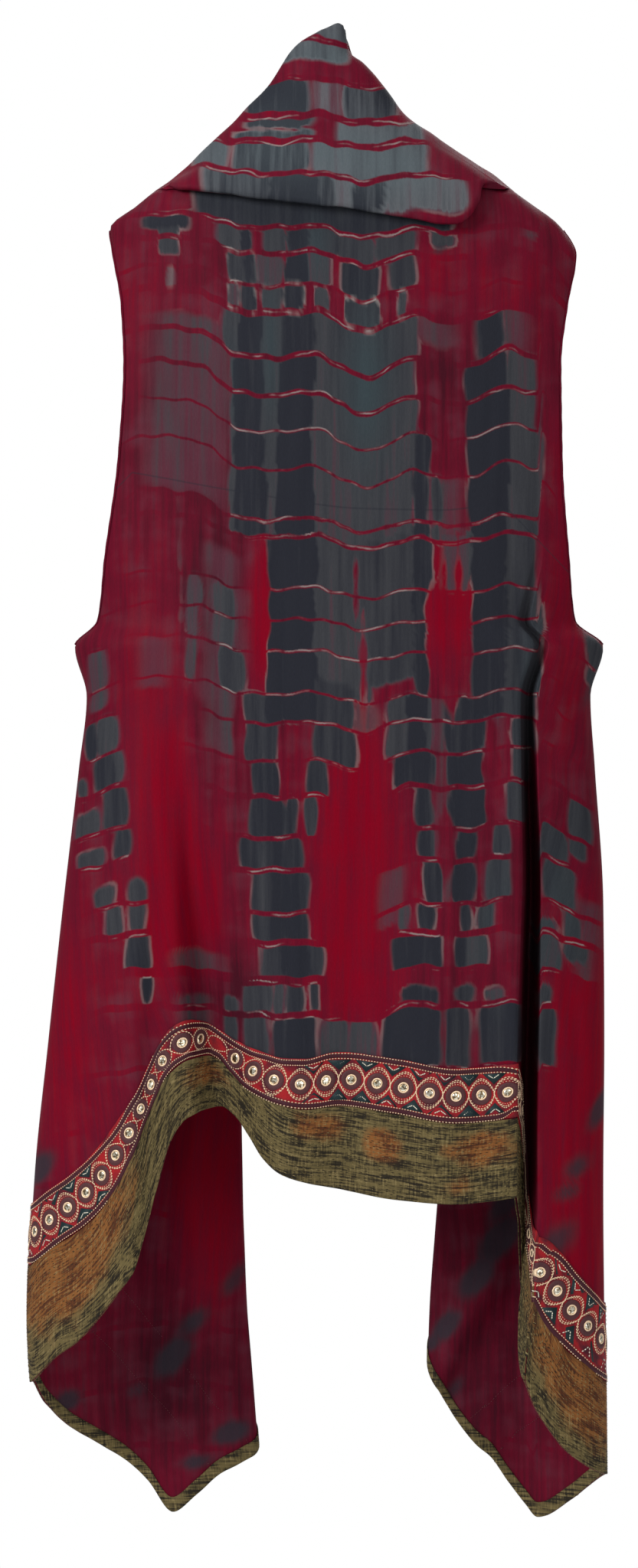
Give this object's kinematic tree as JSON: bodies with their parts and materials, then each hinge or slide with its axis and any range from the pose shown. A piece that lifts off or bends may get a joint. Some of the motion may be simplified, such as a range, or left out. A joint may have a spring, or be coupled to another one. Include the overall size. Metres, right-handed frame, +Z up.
{
  "type": "sleeveless vest",
  "caption": "Open sleeveless vest of draped silk with a standing collar, falling front edges, a mirror trim and a woven border at its slanting hem.",
  "frame": {"origin": "midway between the shoulders at the height of the armholes' tops, where a wearer's shoulders hold the vest", "axes": "+Z up; +Y out of the open front, so the back faces -Y; +X to the right when the back is seen"},
  "size_m": [0.5441, 0.1977, 1.4076],
  "materials": {
    "silk": "dyed silk with a soft sheen",
    "collar_silk": "dyed silk, darker and greyer",
    "mirror_trim": "embroidered band with small mirrors",
    "woven_border": "matt weave with running stitch"
  },
  "bodies": {
    "root": {"back_panel": "silk", "left_front": "silk", "right_front": "silk", "collar": "collar_silk", "mirror_trim": "mirror_trim", "woven_border": "woven_border", "hem_turning": "woven_border", "front_turning_left": "silk", "front_turning_right": "silk", "armhole_hem_left": "silk", "armhole_hem_right": "silk"}
  },
  "joints": []
}
